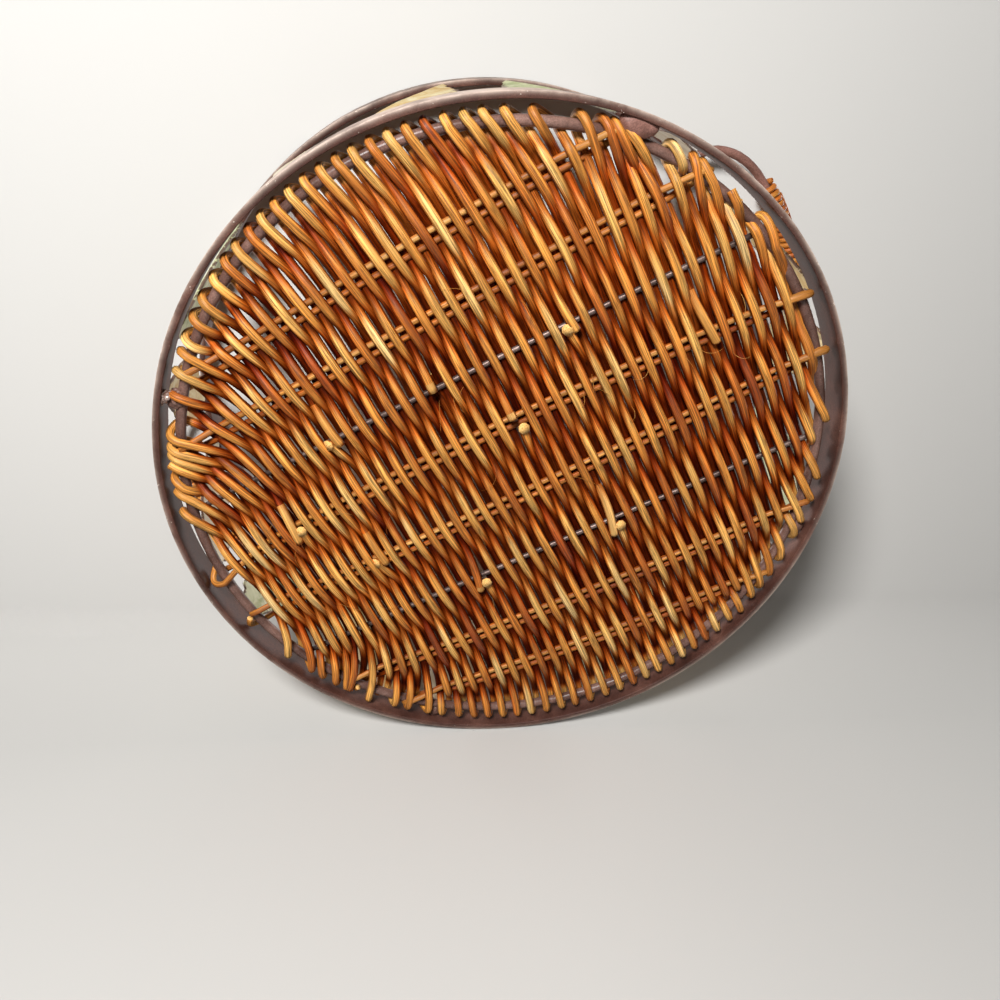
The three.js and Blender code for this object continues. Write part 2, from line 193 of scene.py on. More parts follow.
# Mild steel with bronze-brown enamel, sprayed thin: mauve in the light, with a fine metallic fleck
def enamelMaterial(name, settings):
    material, shader, add, setSockets = startMaterial(name)
    where = add("TexCoord").outputs["Object"]
    cloud = add("TexNoise", {"Vector": where, "Scale": 1 / enamelSkin["cloud"], "Detail": 4, "Roughness": 0.6})
    paint = add("ValToRGB", [cloud], stops=settings["paint"])
    fleck = add("TexNoise", {"Vector": where, "Scale": 1 / enamelSkin["fleck"], "Detail": 1})
    flecked = add("MapRange", [fleck, 0.35, 0.72, 0.8, 1.35])
    coat = add("Mix", {0: 1.0, 6: paint, 7: flecked}, data_type="RGBA", blend_type="MULTIPLY")
    colour = coat.outputs[2]
    smoothest, roughest = settings.get("rough", enamelSkin["rough"])
    rough = add("MapRange", [cloud, 0.3, 0.7, smoothest, roughest])
    chip = add("TexNoise", {"Vector": where, "Scale": 1 / enamelSkin["chip"], "Detail": 5, "Roughness": 0.72})
    worn = chip
    if settings.get("hoops"):
        # how far from the middle of the nearer hoop's height
        xyz = add("SeparateXYZ", [where])
        aways = []
        for middle in settings["hoops"]:
            off = add("Math", [xyz.outputs[2], middle], operation="SUBTRACT")
            aways.append(add("Math", [off], operation="ABSOLUTE"))
        away = add("Math", aways, operation="MINIMUM")
        starts, ends = enamelSkin["edge"]
        edge = add("MapRange", [away, starts, ends, 0, enamelSkin["edgeWear"]])
        # the faces that look outwards are rubbed pale, as the leaves' paint ran on to them
        flat = add("CombineXYZ", [xyz.outputs[0], xyz.outputs[1]])
        radius = add("VectorMath", [flat], operation="LENGTH").outputs["Value"]
        skin = settings["skin"]
        outwards = add("MapRange", [radius, skin - enamelSkin["outside"], skin, 0, 1])
        outside = add("Math", [outwards, enamelSkin["fade"]], operation="POWER")
        rub = add("TexNoise", {"Vector": where, "Scale": 1 / enamelSkin["rub"], "Detail": 6, "Roughness": 0.68})
        rubbed = add("MapRange", [rub, 0.36, 0.58, 0.15, 0.95])
        pale = add("Math", [outside, rubbed], operation="MULTIPLY")
        washed = add("Mix", {0: pale, 6: colour, 7: linear(settings["wash"])}, data_type="RGBA")
        colour = washed.outputs[2]
        outsideWear = add("Math", [outside, enamelSkin["outsideWear"]], operation="MULTIPLY")
        wear = add("Math", [edge, outsideWear], operation="ADD")
        worn = add("Math", [chip, wear], operation="ADD")
    chipAt = settings["chipAt"]
    bare = add("MapRange", [worn, chipAt, chipAt + 0.02, 0, 1])
    chipped = add("Mix", {0: bare, 6: colour, 7: linear(settings["under"])}, data_type="RGBA")
    setSockets(shader, {"Base Color": chipped.outputs[2], "Metallic": settings.get("metallic", 0.0)})
    depth = add("Math", [bare, -1.2, chip], operation="MULTIPLY_ADD")
    bump = add("Bump", {"Height": depth, "Strength": 0.35, "Distance": enamelSkin["depth"]})
    setSockets(shader, {"Roughness": rough, "Specular IOR Level": enamelSkin["shine"], "Normal": bump})
    return material


leafSkin = {
    "dab": 0.014, "chip": 0.004, "edge": (0.3, 0.5), "edgeWear": 0.3, "bare": (0.7, 0.76), "relief": 0.0006,
}


# Sheet steel painted by hand: a light ground, colour dabbed on thin and rubbed through at the edges
def leafMaterial(name, tones, rim):
    material, shader, add, setSockets = startMaterial(name)
    where = add("TexCoord").outputs["Object"]
    dabbed = {"Vector": where, "Scale": 1 / leafSkin["dab"], "Detail": 5, "Roughness": 0.62, "Distortion": 0.6}
    dabs = add("TexNoise", dabbed)
    coat = add("ValToRGB", [dabs], stops=tones)
    blade = add("SeparateXYZ", [add("UVMap", uv_map="leafUV")])
    fromMiddle = add("Math", [blade.outputs[0], 0.5], operation="SUBTRACT")
    outward = add("Math", [fromMiddle], operation="ABSOLUTE")
    starts, ends = leafSkin["edge"]
    nearEdge = add("MapRange", [outward, starts, ends, 0, leafSkin["edgeWear"]])
    chips = add("TexNoise", {"Vector": where, "Scale": 1 / leafSkin["chip"], "Detail": 6, "Roughness": 0.7})
    rubbed = add("Math", [chips, nearEdge], operation="ADD")
    starts, ends = leafSkin["bare"]
    bare = add("MapRange", [rubbed, starts, ends, 0, 1])
    colour = add("Mix", {0: bare, 6: coat, 7: linear(rim)}, data_type="RGBA")
    bump = add("Bump", {"Height": dabs, "Strength": 0.3, "Distance": leafSkin["relief"]})
    setSockets(shader, {"Base Color": colour.outputs[2], "Roughness": 0.5, "Metallic": 0.15, "Normal": bump})
    return material


ringLow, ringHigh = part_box("base_ring")
hoopLow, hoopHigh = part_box("lower_hoop")
upperLow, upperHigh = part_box("upper_hoop")
sizes = {
    "level": (ringLow.z + ringHigh.z) / 2 / mm,
    "hoopOuter": hoopHigh.x / mm,
    "hoopHeight": (hoopHigh.z - hoopLow.z) / mm,
    "wallHeight": upperHigh.z / mm,
    "bar": 3.2,
    "rod": 5.0,
    "ringInset": 8.3,
}
sizes["ring"] = sizes["hoopOuter"] - sizes["bar"] - sizes["ringInset"]

print("materials")
# between these distances from the middle the painted shade in the weave fades out towards the ring
ringInside = [(sizes["ring"] - inset) * mm for inset in (9, 3)]
# the painted shade on the cane's colour, from the crests, at 0, to the depths, at 1
paintedShadeRamp = [(0.0, "#ffffff"), (0.4, "#d8a67c"), (0.75, "#88502c"), (1.0, "#4e220f")]
weaverRattan = rattanMaterial(
    "dyedRattanWeaver",
    [(0.3, "#a24a18"), (0.4, "#ca7229"), (0.5, "#e89b44"), (0.6, "#f6ba64"), (0.7, "#fdd28c")],
    {"grain": 2.6, "toneLength": 0.11, "shadeRange": (0.1, 3.9), "shadeStrength": 0.95, "line": 0.2},
)
stakeRattan = rattanMaterial(
    "dyedRattanStake",
    [(0.32, "#98521e"), (0.5, "#c58238"), (0.68, "#e2a85c")],
    {"grain": 1.6, "toneLength": 0.09, "shadeRange": (-0.6, 1.6), "shadeStrength": 0.7, "line": 0.5},
)
gripRattan = rattanMaterial(
    "dyedRattanGrip",
    [(0.32, "#93430f"), (0.46, "#b8631c"), (0.58, "#cd8230"), (0.7, "#e2ab58")],
    {"grain": 2.6, "toneLength": 0.05, "shadeRange": (0.0, 1.0), "shadeStrength": 0.0, "line": 0.5},
)
paleRattan = rattanMaterial(
    "dyedRattanNewlyCut",
    [(0.34, "#c9853a"), (0.5, "#e09e4e"), (0.66, "#eeb86e")],
    {"grain": 2.3, "toneLength": 0.06, "shadeRange": (-1.0, 3.6), "shadeStrength": 0.7, "line": 0.5},
)
cutRattan = cutCaneMaterial()
rodEnamel = enamelMaterial(
    "bronzeEnamelRod",
    {
        "paint": [(0.3, "#463029"), (0.5, "#62473e"), (0.72, "#84665b")], "under": "#b7a296", "chipAt": 0.8,
        "rough": (0.22, 0.36),
    },
)
hoopEnamel = enamelMaterial(
    "bronzeEnamelHoop",
    {
        "paint": [(0.3, "#351f19"), (0.5, "#4a2e26"), (0.72, "#67463b")], "under": "#d9cabc", "chipAt": 0.86,
        "wash": "#cdb8a9", "skin": sizes["hoopOuter"] * mm,
        "hoops": (sizes["hoopHeight"] / 2 * mm, (sizes["wallHeight"] - sizes["hoopHeight"] / 2) * mm),
    },
)
wireEnamel = enamelMaterial(
    "darkSteelWire",
    {
        "paint": [(0.3, "#453732"), (0.7, "#74625b")], "under": "#c3b7b0", "chipAt": 0.8, "metallic": 0.6,
        "rough": (0.36, 0.46),
    },
)
handleEnamel = enamelMaterial(
    "bronzeEnamelHandle",
    {"paint": [(0.3, "#5a3d34"), (0.5, "#78544a"), (0.72, "#946d62")], "under": "#b7a296", "chipAt": 0.8},
)
scorchedSteel = enamelMaterial(
    "scorchedWeldSteel",
    {
        "paint": [(0.34, "#6e5950"), (0.5, "#a08a80"), (0.62, "#d8ccc4")], "under": "#efe6df", "chipAt": 0.62,
        "metallic": 0.5, "rough": (0.25, 0.4),
    },
)
leafPaints = [
    leafMaterial("paintedLeafYellow", [(0.3, "#b68d42"), (0.46, "#ccae70"), (0.64, "#ded1a6")], "#6e5140"),
    leafMaterial("paintedLeafGreen", [(0.3, "#858f58"), (0.47, "#adb182"), (0.66, "#d2d0ae")], "#5f4a3a"),
    leafMaterial("paintedLeafCream", [(0.3, "#b59d78"), (0.5, "#c9bb9e"), (0.7, "#d8cfba")], "#7a5c4c"),
]


# Shared mesh steps

# The shares of the way after each of a number of equal steps, from 0 to 1
def shares(steps):
    return [step / steps for step in range(steps + 1)]


def ripple(*place):
    return noise.noise(Vector(place))


def meshObject(name, bm, materials):
    mesh = bpy.data.meshes.new(name)
    bm.to_mesh(mesh)
    bm.free()
    for material in materials:
        mesh.materials.append(material)
    mesh.shade_smooth()
    return linkedObject(name, mesh)


def finishPiece(name, bm, materials, nodes):
    piece = meshObject(name, bm, materials)
    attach(piece, "root")
    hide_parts(*nodes)


# The numbers of a mesh layer, one row for each item
def readAll(items, key, width):
    values = np.zeros(len(items) * width)
    items.foreach_get(key, values)
    return values.reshape(-1, width)


# Adds a round cane or rod along points of (x, y, z, radius), with its real length in the UV map.
# The first and last points counted in pale show newly cut, lighter cane.
def addCane(bm, points, sides=8, start=0.0, pale=(0, 0)):
    curve = bpy.data.curves.new("run", "CURVE")
    curve.dimensions = "3D"
    curve.bevel_depth = mm
    curve.bevel_resolution = sides // 2 - 2
    curve.use_fill_caps = True
    curve.twist_mode = "MINIMUM"
    spline = curve.splines.new("POLY")
    spline.points.add(len(points) - 1)
    places = np.array([point[:3] for point in points]) * mm
    spline.points.foreach_set("co", np.c_[places, np.ones(len(points))].ravel())
    spline.points.foreach_set("radius", [point[3] for point in points])
    run = bpy.data.objects.new("run", curve)
    mesh = bpy.data.meshes.new_from_object(run)
    along = np.r_[0, np.cumsum(np.linalg.norm(np.diff(places, axis=0), axis=1))] + start
    layer = mesh.uv_layers[0]
    layer.name = "caneUV"
    uv = readAll(layer.data, "uv", 2)
    uv[:, 0] = along[np.clip(np.rint(uv[:, 0] * (len(points) - 1)).astype(int), 0, len(points) - 1)]
    layer.data.foreach_set("uv", uv.ravel())
    # how far each place stands out of the mat's middle, in mm, less where the cane turns away; the rattan
    # materials paint shade where this is small
    heights = readAll(mesh.vertices, "co", 3)[:, 2] / mm - sizes["level"]
    standing = heights * readAll(mesh.vertex_normals, "vector", 3)[:, 2]
    mesh.attributes.new("standing", "FLOAT", "POINT").data.foreach_set("value", standing)
    # the two cut ends are the faces on the first vertices
    for face in mesh.polygons:
        station = min(face.vertices) // sides - 2
        isPale = station < pale[0] or station >= len(points) - 1 - pale[1]
        face.material_index = 1 if max(face.vertices) < 2 * sides else 2 if isPale else 0
    bm.from_mesh(mesh)
    bpy.data.meshes.remove(mesh)
    bpy.data.objects.remove(run)
    bpy.data.curves.remove(curve)


def closeSeams(bm):
    bmesh.ops.remove_doubles(bm, verts=bm.verts, dist=mm / 200)


# Turns an open sheet so that the given faces look in a direction
def faceTowards(bm, faces, direction):
    bmesh.ops.recalc_face_normals(bm, faces=bm.faces)
    if sum(face.normal.dot(direction) for face in faces) < 0:
        bmesh.ops.reverse_faces(bm, faces=bm.faces)


# Woven base. Across the ring lie six reeds laid double and two wires; the rows of cane run over one
# and under the next. Heights here are counted from the ring's level towards the ground.

weave = {
    # the canes: radius, how it varies, its share where they dive, its growth where they stand out
    "rows": 84, "caneRadius": 2.28, "uneven": (0.99, 1.05), "along": 0.07, "waist": 0.93, "fuller": 0.16,
    # the turns round the ring: radius, how it grows away from them, gap, steps, and how late they cross
    "turnRadius": 2.05, "turnGrowth": 0.02, "ringGap": 0.12, "turnSteps": 10, "late": 2.2, "steepest": 2.2,
    # how the rows lie: lines this near the ring are left out, the lean's power, and small wobbles
    "nearRing": 8, "leanPower": 4.4, "endSway": 0.7, "apart": 0.3, "wander": 0.55, "outermost": (-155.5, 155.8),
    # a strand leans by skew, rises early, and does both from this far inside the ring
    "skew": 0.7, "early": 2.4, "settle": 16,
    # steps along a row, finer near the ring
    "step": 2.2, "fineStep": 1.2, "fineWithin": 12,
}
# where the rows cross the middle of the mat: they lie closer on the left
rowSpread = ((0, 24, 83), (-147.5, -72.3, 153.9))
# how far each row has moved sideways where it meets the ring, on the -Y side and on the +Y side
rowLean = {
    -1: (
        (0, 3, 6, 8, 10, 12, 14, 16, 19, 22, 26, 36, 46, 62, 64, 66, 70, 71, 73, 74, 76, 78, 82, 83),
        (
            -5, -8, -11, -15, -19, -22, -19, -17, -16, -13, -10, -9.5, -9, -8.3, -6, 0.5, 0.5, -3, -6, 0.6, 2.3,
            -0.9, -1.9, -2,
        ),
    ),
    1: (
        (0, 3, 5, 7, 9, 15, 17, 19, 23, 31, 35, 39, 41, 45, 53, 63, 67, 71, 75, 77, 79, 82, 83),
        (
            -6, -8, -10, -13, -18, -18, -19, -14, -11.5, -11, -9.4, -7.7, -5.4, -3, -1.3, 0.8, -2.5, -3, 1.5, 2,
            1, 2, 1,
        ),
    ),
}
# the lines: where each lies at x = -100, 0 and 100, and how far along x its rows go
matLines = [
    {"node": node, "across": across, "reach": reach, "half": 1.6 if node.startswith("reed") else 1.4}
    for node, across, reach in (
        ("reed_stake_1", (-110.3, -116.8, -120.6), 106),
        ("reed_stake_2", (-82.9, -85.7, -88.2), 130),
        ("cross_rod_1", (-53.8, -54.8, -54.6), 147),
        ("reed_stake_3", (-20.5, -22.3, -19.5), 156),
        ("reed_stake_4", (15.9, 17.5, 16.6), 157),
        ("cross_rod_2", (50, 52.1, 55), 147),
        ("reed_stake_5", (83, 90.8, 94), 130),
        ("reed_stake_6", (111, 123, 127.5), 101),
    )
]


def lineAt(line, x):
    low, middle, high = line["across"]
    share = x / 100
    return middle + (high - low) / 2 * share + ((high + low) / 2 - middle) * share ** 2


def placed(x, y, height, radius):
    return (x, y, sizes["level"] - height, radius)


def rowMiddle(row):
    return float(np.interp(row, *rowSpread))


# Where a row's cane meets the ring at side -1 or 1 of the middle
def rowEnd(row, side):
    sway = weave["endSway"] * ripple(row * 3.7, side * 9.1, 4)
    x = rowMiddle(row) + float(np.interp(row, *rowLean[side])) + sway
    left, right = weave["outermost"]
    x = max(left, min(right, x))
    return x, side * sqrt(sizes["ring"] ** 2 - x ** 2)


# How far along x a row's cane lies at y, before it leans over the lines
def rowX(row, y):
    side = 1 if y > 0 else -1
    endX, endY = rowEnd(row, side)
    middle = rowMiddle(row)
    bend = (endX - middle) * min(1, abs(y / endY)) ** weave["leanPower"]
    apart = weave["apart"] * ripple(row * 5.1, 2, 8)
    return middle + bend + apart + weave["wander"] * ripple(row * 7.3, y * 0.03, 5)


# The places where a row's cane crosses lines, and how high it stands there
def rowStations(row, radius):
    stations = []
    ends = []
    for side in (-1, 1):
        # the two rows that one turn of the cane joins on this side cross the same lines
        first = row // 2 * 2 if side < 0 else (row + 1) // 2 * 2 - 1
        pair = [min(weave["rows"] - 1, max(0, each)) for each in (first, first + 1)]
        reach = min(abs(rowEnd(each, side)[1]) for each in pair) - weave["nearRing"]
        numbers = range(0, 4) if side < 0 else range(4, 8)
        crossed = [k for k in numbers if abs(lineAt(matLines[k], rowMiddle(row))) < reach]
        for k in crossed:
            line = matLines[k]
            over = 1 if (k + row) % 2 else -1
            y = lineAt(line, rowX(row, lineAt(line, rowMiddle(row))))
            stations.append((y, over * (line["half"] + radius)))
        outermost = crossed[0] if side < 0 else crossed[-1]
        over = -1 if (outermost + row) % 2 else 1
        slim = min(radius, weave["turnRadius"])
        ends.append((rowEnd(row, side)[1], over * (sizes["rod"] / 2 + weave["ringGap"] + slim)))
    return [ends[0], *sorted(stations), ends[1]]


# The heights at the lines on either side of y, and y's share of the way between them
def between(stations, y):
    for (lowY, lowHeight), (highY, highHeight) in zip(stations, stations[1:]):
        if y <= highY:
            return lowHeight, highHeight, max(0, (y - lowY) / (highY - lowY))
    return stations[-1][1], stations[-1][1], 0


def heightAt(stations, y):
    low, high, share = between(stations, y)
    return low + (high - low) * (1 - cos(pi * share)) / 2


# How far the cane leans sideways there: it moves towards +X while it lies over a line and back below it
def skewAt(stations, y):
    low, _, share = between(stations, y)
    swing = 0.5 * sin(pi * share) + 0.5 * (1 - abs(2 * share - 1))
    return copysign(weave["skew"] / 2 * swing, low)


def rowRun(row, fromY, toY, radius):
    stations = rowStations(row, radius)
    low, high = min(fromY, toY), max(fromY, toY)
    places = [low]
    while places[-1] < high - 1:
        fromRing = min(places[-1] - stations[0][0], stations[-1][0] - places[-1])
        places.append(places[-1] + weave["fineStep" if fromRing < weave["fineWithin"] else "step"])
    places[-1] = high
    run = []
    for y in places:
        fromRing = min(y - stations[0][0], stations[-1][0] - y)
        settled = max(0, min(1, fromRing / weave["settle"]))
        # a strand comes up a little early and goes down a little early, on top of its neighbour
        height = heightAt(stations, y + weave["early"] * settled)
        x = rowX(row, y) + skewAt(stations, y) * settled
        # the cane looks slimmest where it dives between its neighbours
        waist = weave["waist"] + (1 - weave["waist"]) * min(1, abs(height) / weave["caneRadius"])
        fuller = 1 + weave["fuller"] * max(0, -height) / weave["caneRadius"]
        squeezed = min(radius * waist * fuller, weave["turnRadius"] + weave["turnGrowth"] * max(0, fromRing))
        run.append(placed(x, y, height, squeezed))
    return run if toY > fromY else run[::-1]


# How far a row's cane runs on along the ring while it goes once its own height outwards
def obliqueness(row, side):
    x, y = rowEnd(row, side)
    away = Vector((x - rowX(row, y * 0.95), y * 0.05))
    outward = Vector((x, y)).normalized()
    along = Vector((-outward.y, outward.x))
    steepest = weave["steepest"]
    return max(-steepest, min(steepest, away.dot(along) / max(0.05, away.dot(outward))))


# Round the ring from one row's end to the next row's end, carried on in the cane's own direction
def ringTurn(row, side, radius):
    radius = min(radius, weave["turnRadius"])
    x, y = rowEnd(row, side)
    nextX, nextY = rowEnd(row + 1, side)
    start, end = atan2(y, x), atan2(nextY, nextX)
    if abs(end - start) > pi:
        end += fullTurn if start > end else -fullTurn
    height = rowStations(row, radius)[0 if side < 0 else -1][1]
    reach = abs(height)
    comes, goes = obliqueness(row, side), obliqueness(row + 1, side)
    turn = []
    for share in shares(weave["turnSteps"])[1:-1]:
        roll = pi * share
        carried = (comes + (goes - comes) * share) * reach * sin(roll)
        # the step along the ring is taken on the inner side of the basket
        across = share ** weave["late"] if height > 0 else 1 - (1 - share) ** weave["late"]
        angle = start + (end - start) * across + carried / sizes["ring"]
        out = sizes["ring"] + reach * sin(roll)
        turn.append(placed(out * cos(angle), out * sin(angle), height * cos(roll), radius))
    return turn


# Where one weaver ends and the next starts: the row, and each end's place along it, its kind, how far it
# lies sideways, and the length at it that shows lighter cane. A tip lies on top, a face turns up to be
# seen end on, and a tuck stays hidden.
cuts = [
    {"row": row, "before": before, "after": after}
    for row, before, after in (
        (0, None, None),
        (7, None, None),
        (12, (-22, "face", 1.6, 3), (-14, "tip", -3.4, 22)),
        (21, (17.5, "tip", 1.0, 20), (12.5, "face", -3.6, 3)),
        (25, (-51.5, "tip", 1.2, 21), (-56.5, "face", -3.8, 3)),
        (32, (52, "face", 1.0, 3), (58, "tip", -4.4, 3)),
        (39, (-55, "tip", -1.2, 3), (-61, "tuck", 0, 0)),
        (46, (-20.5, "face", 2.2, 3.5), (-25, "tip", -0.6, 3)),
        (52, (54, "face", 1.6, 3), (60.5, "tip", -3.6, 30)),
        (57, (-51.5, "tip", 1.8, 3), (-56, "face", -1.8, 3)),
        (64, None, None),
        (72, (-30, "tuck", 0, 0), (-15.5, "tip", 1.8, 28)),
        (84, None, None),
    )
]
# turns that were cut off at the ring: the row that comes to it and the side
cutTurns = {(11, 1), (13, -1), (75, 1), (77, 1), (79, 1), (81, 1), (80, -1)}
cutEnds = {
    "past": 5.5, "pastUneven": 1.5, "pastSteps": 4, "droop": 0.24, "stand": 5.4, "rise": 7.0,
    "curlSteps": 7, "lift": 0.5, "slant": 24, "swerve": 1.6, "flare": 1.2, "tuck": -4.0, "clear": 0.1,
    "aimFrom": 0.94,
}


# A blunt end that stops a little way past the ring, as points that lead away from it
def pastRing(row, side, radius):
    radius = min(radius, weave["turnRadius"])
    x, y = rowEnd(row, side)
    fromY = y * cutEnds["aimFrom"]
    away = Vector((x - rowX(row, fromY), y - fromY)).normalized()
    height = rowStations(row, radius)[0 if side < 0 else -1][1]
    length = cutEnds["past"] + cutEnds["pastUneven"] * ripple(row * 2.3, side, 6)
    points = []
    for share in shares(cutEnds["pastSteps"])[1:]:
        drooped = height * (1 - cutEnds["droop"] * share ** 1.5)
        points.append(placed(x + away.x * length * share, y + away.y * length * share, drooped, radius))
    return points


# Shapes the cut end at the start of a list of points, and counts the pale points at it
def dressEnd(points, kind, sideways, paleLength):
    tip = points[0]
    last = next(index for index, point in enumerate(points) if abs(point[1] - tip[1]) > cutEnds["slant"])
    dressed = []
    for x, y, z, radius in points[:last]:
        share = 1 - abs(y - tip[1]) / cutEnds["slant"]
        height = sizes["level"] - z + (cutEnds["lift"] * share ** 3 if kind == "tip" else 0)
        height = min(height, sizes["level"] - cutEnds["clear"] - radius)
        if kind == "tuck":
            height += (cutEnds["tuck"] - height) * sin(pi / 2 * share)
        dressed.append(placed(x + sideways * share ** cutEnds["swerve"], y, height, radius))
    if kind == "face":
        # the last millimetres curve up towards the ground side, so that the cut shows
        kept = [point for point in dressed if abs(point[1] - tip[1]) > cutEnds["rise"]]
        first = kept[0]
        towards = 1 if first[1] > tip[1] else -1
        low = sizes["level"] - first[2]
        rise, stand = cutEnds["rise"], cutEnds["stand"] - low
        curl = []
        for gone in shares(cutEnds["curlSteps"])[:-1]:
            share = 1 - gone
            swing = pi / 2 * share
            y = first[1] - towards * rise * sin(swing)
            height = low + stand * (1 - cos(swing))
            x = dressed[0][0] + (first[0] - dressed[0][0]) * gone
            thick = first[3] * (1 + (cutEnds["flare"] - 1) * share)
            # a level cane's lowest side keeps clear of the ground, an upright one's cut face does
            level = Vector((rise * cos(swing), stand * sin(swing))).normalized().x
            lowest = sizes["level"] - cutEnds["clear"] - thick * level
            curl.append(placed(x, y, min(height, lowest), thick))
        dressed = curl + kept
    dressed += points[last:]
    pale = 0
    length = 0
    while length < paleLength:
        pale += 1
        length += (Vector(dressed[pale][:3]) - Vector(dressed[pale - 1][:3])).length
    return dressed, pale


# All lengths of cane between two cuts: one, unless a turn at the ring was cut off
def weaverRuns(start, end, seed):
    dice = random.Random(seed)
    base = weave["caneRadius"] * dice.uniform(*weave["uneven"])
    runs = [[]]
    lastRow = end["row"] if end["before"] else end["row"] - 1
    for row in range(start["row"], lastRow + 1):
        towards = 1 if row % 2 else -1
        radius = base * (1 + weave["along"] * ripple(row * 0.9, seed, 2))
        startsHere = row == start["row"] and start["after"]
        endsHere = row == end["row"] and end["before"]
        fromY = start["after"][0] if startsHere else rowEnd(row, -towards)[1]
        toY = end["before"][0] if endsHere else rowEnd(row, towards)[1]
        if row == start["row"] and not start["after"]:
            runs[-1] += pastRing(row, -towards, radius)[::-1]
        runs[-1] += rowRun(row, fromY, toY, radius)
        if row == lastRow:
            if not endsHere:
                runs[-1] += pastRing(row, towards, radius)
        elif (row, towards) in cutTurns:
            runs[-1] += pastRing(row, towards, radius)
            runs.append(pastRing(row + 1, towards, radius)[::-1])
        else:
            runs[-1] += ringTurn(row, towards, radius)
    return runs


# Loose fibres that stand off the cane, each from a place on one of the rows
hairs = {
    "each": 3, "points": 10, "thick": 0.14, "taper": 0.06, "length": (7, 19), "spread": 0.5, "curl": 0.22,
    "root": 3.4, "arch": 2.8, "highest": 6.2, "farthest": 95, "within": 0.7,
}


def hairRun(row, y, dice):
    along = dice.uniform(-hairs["spread"], hairs["spread"]) + (pi if dice.random() < 0.5 else 0)
    curl = dice.uniform(-hairs["curl"], hairs["curl"])
    step = dice.uniform(*hairs["length"]) / (hairs["points"] - 1)
    x = rowX(row, y)
    points = []
    for number in range(hairs["points"]):
        rise = hairs["arch"] * sin(pi * number / (hairs["points"] + 1))
        height = min(hairs["highest"], hairs["root"] + rise)
        points.append(placed(x, y, height, hairs["thick"] * (1 - hairs["taper"] * number)))
        x, y = x + step * sin(along), y + step * cos(along)
        along += curl
    return points


print("weavers")
# each weaver has dice of its own for its cane and for its hairs, and each length of cane its own grain
weaverSeeds = {"cane": 40, "hairs": 70}
grainShift = {"weaver": 3.7, "run": 0.9, "stake": 1.9}
for index, (start, end) in enumerate(zip(cuts, cuts[1:])):
    bm = bmesh.new()
    runs = weaverRuns(start, end, weaverSeeds["cane"] + index)
    paleStart, paleEnd = 0, 0
    if start["after"]:
        runs[0], paleStart = dressEnd(runs[0], *start["after"][1:])
    if end["before"]:
        turned, paleEnd = dressEnd(runs[-1][::-1], *end["before"][1:])
        runs[-1] = turned[::-1]
    for number, run in enumerate(runs):
        pale = (paleStart if number == 0 else 0, paleEnd if number == len(runs) - 1 else 0)
        addCane(bm, run, start=index * grainShift["weaver"] + number * grainShift["run"], pale=pale)
    dice = random.Random(weaverSeeds["hairs"] + index)
    for number in range(hairs["each"]):
        row = dice.randrange(start["row"], end["row"])
        half = min(hairs["farthest"], abs(rowEnd(row, 1)[1]) * hairs["within"])
        addCane(bm, hairRun(row, dice.uniform(-half, half), dice), sides=6, start=index + number)
    closeSeams(bm)
    canes = [weaverRattan, cutRattan, paleRattan]
    finishPiece(f"weaverCane{index + 1:02d}", bm, canes, [f"weaver_{index + 1:02d}"])


print("stakes and wires")


# How each stake's reeds end on the left: which run has the hook, how far it reaches past the ring, how
# far it sweeps along the ring, and how far the run bends on its way there; and its thickness on the
# right, where it turns
stakeEnds = {
    number: {"hooked": hooked, "reach": reach, "sweep": sweep, "bend": bend, "turn": turn}
    for number, hooked, reach, sweep, bend, turn in (
        (1, -1, 4.4, -1.5, -2.0, 1.5),
        (2, 1, 4.4, 2.0, 0.5, 1.5),
        (3, -1, 6.3, -7.0, 8.0, 2.2),
        (4, 1, 6.3, -8.5, 5.0, 2.2),
        (5, 1, 4.8, -3.0, 4.0, 1.7),
        (6, -1, 4.4, 1.5, 1.0, 1.5),
    )
}
# The two runs of a reed: how far apart, their steps, the lengths over which they rise to the ring, bend
# to the hook and change thickness, how deep each lies, and the turn round the ring at either end
reeds = {
    "spacing": 5.0, "steps": 60, "blend": 24, "past": 12, "bendLength": 45, "thickLength": 12, "wander": 0.3,
    "deep": {1: 0.2, -1: -0.7}, "turnSteps": 8, "bulge": 0.4, "hookSteps": 12, "hookTurn": 0.86 * pi,
}


